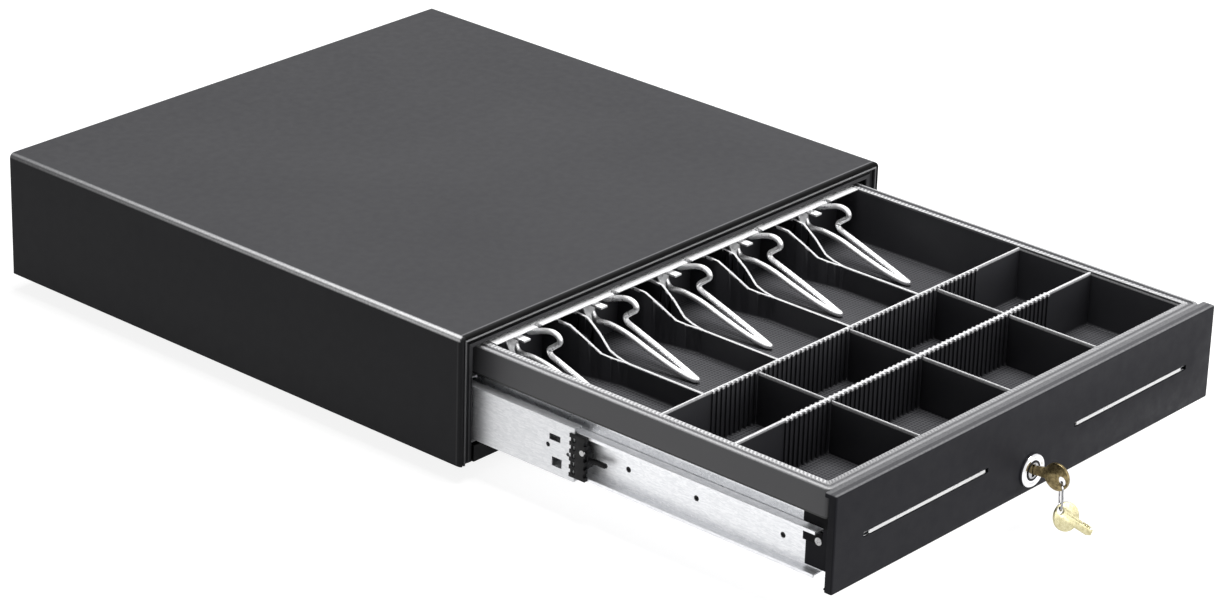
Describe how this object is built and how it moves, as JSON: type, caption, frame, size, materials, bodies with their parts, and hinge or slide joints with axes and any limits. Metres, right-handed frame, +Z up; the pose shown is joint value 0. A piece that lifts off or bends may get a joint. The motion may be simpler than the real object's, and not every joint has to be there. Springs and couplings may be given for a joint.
{
  "type": "cash drawer",
  "caption": "Steel cash drawer shown open: folded case, drawer on ball slides with a bill and coin tray, sprung bill clips, key lock and solenoid latch.",
  "frame": {"origin": "middle of the bounding box at the height of the feet, with the drawer open as stored", "axes": "+X to the right seen from the front, +Y from the front to the back, +Z up"},
  "size_m": [0.41, 0.7433, 0.1],
  "materials": {
    "back_panel": "black powder coat",
    "bill_clip": "bright plated steel",
    "case_base": "black powder coat",
    "case_cover": "black powder coat",
    "clip_rail": "zinc plated sheet",
    "clip_spring": "bright plated steel",
    "coin_divider": "black moulded plastic",
    "drawer_pan": "zinc plated sheet",
    "ejector_guide": "bright plated steel",
    "ejector_spring": "bright plated steel",
    "foot_back": "black rubber",
    "foot_front": "black rubber",
    "front_panel": "black powder coat",
    "inner_cage": "bright plated steel",
    "jack_socket": "black moulded plastic",
    "key_ring": "bright plated steel",
    "latch_bracket": "zinc plated sheet",
    "latch_hook": "zinc plated sheet",
    "latch_pin": "bright plated steel",
    "lock_barrel": "bright plated steel",
    "lock_key": "nickel silver",
    "lock_nut": "zinc plated sheet",
    "lock_plug": "bright plated steel",
    "lock_rod": "zinc plated sheet",
    "microswitch": "black moulded plastic",
    "outer_cage": "bright plated steel",
    "slide_bumper": "black moulded plastic",
    "slide_inner": "zinc plated sheet",
    "slide_middle": "zinc plated sheet",
    "slide_outer": "zinc plated sheet",
    "solenoid": "wound coil in a steel yoke",
    "solenoid_plunger": "bright plated steel",
    "spare_key": "nickel silver",
    "strike": "zinc plated sheet",
    "tray": "black moulded plastic"
  },
  "bodies": {
    "case": {"back_panel": "back_panel", "case_base": "case_base", "case_cover": "case_cover", "ejector_guide": "ejector_guide", "ejector_spring": "ejector_spring", "foot_back_left": "foot_back", "foot_back_right": "foot_back", "foot_front_left": "foot_front", "foot_front_right": "foot_front", "jack_socket": "jack_socket", "latch_bracket": "latch_bracket", "latch_pin": "latch_pin", "microswitch": "microswitch", "slide_outer_left": "slide_outer", "slide_outer_right": "slide_outer", "solenoid": "solenoid"},
    "drawer": {"drawer_pan": "drawer_pan", "front_panel": "front_panel", "tray": "tray", "clip_rail": "clip_rail", "lock_barrel": "lock_barrel", "lock_nut": "lock_nut", "strike": "strike", "slide_inner_left": "slide_inner", "slide_inner_right": "slide_inner", "coin_divider_1_1": "coin_divider", "coin_divider_1_2": "coin_divider", "coin_divider_1_3": "coin_divider", "coin_divider_2_1": "coin_divider", "coin_divider_2_2": "coin_divider", "coin_divider_2_3": "coin_divider"},
    "lock": {"lock_plug": "lock_plug", "lock_rod": "lock_rod"},
    "key": {"lock_key": "lock_key"},
    "ring": {"key_ring": "key_ring"},
    "spare": {"spare_key": "spare_key"},
    "hook": {"latch_hook": "latch_hook"},
    "plunger": {"solenoid_plunger": "solenoid_plunger"},
    "middle_left": {"slide_middle_left": "slide_middle", "slide_bumper_left": "slide_bumper"},
    "outer_balls_left": {"outer_cage_left": "outer_cage"},
    "inner_balls_left": {"inner_cage_left": "inner_cage"},
    "middle_right": {"slide_middle_right": "slide_middle", "slide_bumper_right": "slide_bumper"},
    "outer_balls_right": {"outer_cage_right": "outer_cage"},
    "inner_balls_right": {"inner_cage_right": "inner_cage"},
    "clip_1": {"bill_clip_1": "bill_clip", "clip_spring_1": "clip_spring"},
    "clip_2": {"bill_clip_2": "bill_clip", "clip_spring_2": "clip_spring"},
    "clip_3": {"bill_clip_3": "bill_clip", "clip_spring_3": "clip_spring"},
    "clip_4": {"bill_clip_4": "bill_clip", "clip_spring_4": "clip_spring"},
    "clip_5": {"bill_clip_5": "bill_clip", "clip_spring_5": "clip_spring"}
  },
  "joints": [
    {"name": "drawer_slide", "type": "slide", "parent": "case", "child": "drawer", "axis": [0, -1, 0], "range_m": [-0.284, 0.006]},
    {"name": "middle_slide_left", "type": "slide", "parent": "case", "child": "middle_left", "axis": [0, -1, 0], "range_m": [-0.1101, 0.00242]},
    {"name": "outer_balls_slide_left", "type": "slide", "parent": "case", "child": "outer_balls_left", "axis": [0, -1, 0], "range_m": [-0.0551, 0.00126]},
    {"name": "inner_balls_slide_left", "type": "slide", "parent": "case", "child": "inner_balls_left", "axis": [0, -1, 0], "range_m": [-0.1971, 0.00426]},
    {"name": "middle_slide_right", "type": "slide", "parent": "case", "child": "middle_right", "axis": [0, -1, 0], "range_m": [-0.1101, 0.00242]},
    {"name": "outer_balls_slide_right", "type": "slide", "parent": "case", "child": "outer_balls_right", "axis": [0, -1, 0], "range_m": [-0.0551, 0.00126]},
    {"name": "inner_balls_slide_right", "type": "slide", "parent": "case", "child": "inner_balls_right", "axis": [0, -1, 0], "range_m": [-0.1971, 0.00426]},
    {"name": "clip_lift_1", "type": "hinge", "parent": "drawer", "child": "clip_1", "pos_m": [-0.1428, -0.04522, 0.086], "axis": [-1, 0, 0], "range_deg": [0, 35], "stiffness_Nm_per_rad": 0.03, "springref_deg": -28.65},
    {"name": "clip_lift_2", "type": "hinge", "parent": "drawer", "child": "clip_2", "pos_m": [-0.0714, -0.04522, 0.086], "axis": [-1, 0, 0], "range_deg": [0, 35], "stiffness_Nm_per_rad": 0.03, "springref_deg": -28.65},
    {"name": "clip_lift_3", "type": "hinge", "parent": "drawer", "child": "clip_3", "pos_m": [0, -0.04522, 0.086], "axis": [-1, 0, 0], "range_deg": [0, 35], "stiffness_Nm_per_rad": 0.03, "springref_deg": -28.65},
    {"name": "clip_lift_4", "type": "hinge", "parent": "drawer", "child": "clip_4", "pos_m": [0.0714, -0.04522, 0.086], "axis": [-1, 0, 0], "range_deg": [0, 35], "stiffness_Nm_per_rad": 0.03, "springref_deg": -28.65},
    {"name": "clip_lift_5", "type": "hinge", "parent": "drawer", "child": "clip_5", "pos_m": [0.1428, -0.04522, 0.086], "axis": [-1, 0, 0], "range_deg": [0, 35], "stiffness_Nm_per_rad": 0.03, "springref_deg": -28.65},
    {"name": "lock_turn", "type": "hinge", "parent": "drawer", "child": "lock", "pos_m": [0, -0.33422, 0.039], "axis": [0, -1, 0], "range_deg": [0, 90]},
    {"name": "key_pull", "type": "slide", "parent": "lock", "child": "key", "axis": [0, -1, 0], "range_m": [0, 0.024]},
    {"name": "ring_swing", "type": "hinge", "parent": "key", "child": "ring", "pos_m": [0, -0.35822, 0.038], "axis": [1, 0, 0], "range_deg": [-15, 15]},
    {"name": "spare_key_swing", "type": "hinge", "parent": "ring", "child": "spare", "pos_m": [0, -0.35822, 0.0204], "axis": [1, 0, 0], "range_deg": [-7, 7]},
    {"name": "hook_turn", "type": "hinge", "parent": "case", "child": "hook", "pos_m": [0.016, 0.28978, 0.0395], "axis": [0, 0, -1], "range_deg": [-0.5, 21.5]},
    {"name": "plunger_pull", "type": "slide", "parent": "case", "child": "plunger", "axis": [0, 1, 0], "range_m": [0, 0.0041], "stiffness_N_per_m": 20, "springref_m": -0.005}
  ],
  "couplings": [
    {"joint": "middle_slide_left", "follows": "drawer_slide", "ratio": 0.38732},
    {"joint": "outer_balls_slide_left", "follows": "drawer_slide", "ratio": 0.19366},
    {"joint": "inner_balls_slide_left", "follows": "drawer_slide", "ratio": 0.69366},
    {"joint": "middle_slide_right", "follows": "drawer_slide", "ratio": 0.38732},
    {"joint": "outer_balls_slide_right", "follows": "drawer_slide", "ratio": 0.19366},
    {"joint": "inner_balls_slide_right", "follows": "drawer_slide", "ratio": 0.69366},
    {"joint": "hook_turn", "follows": "plunger_pull", "rad_per_m": 84.746}
  ]
}
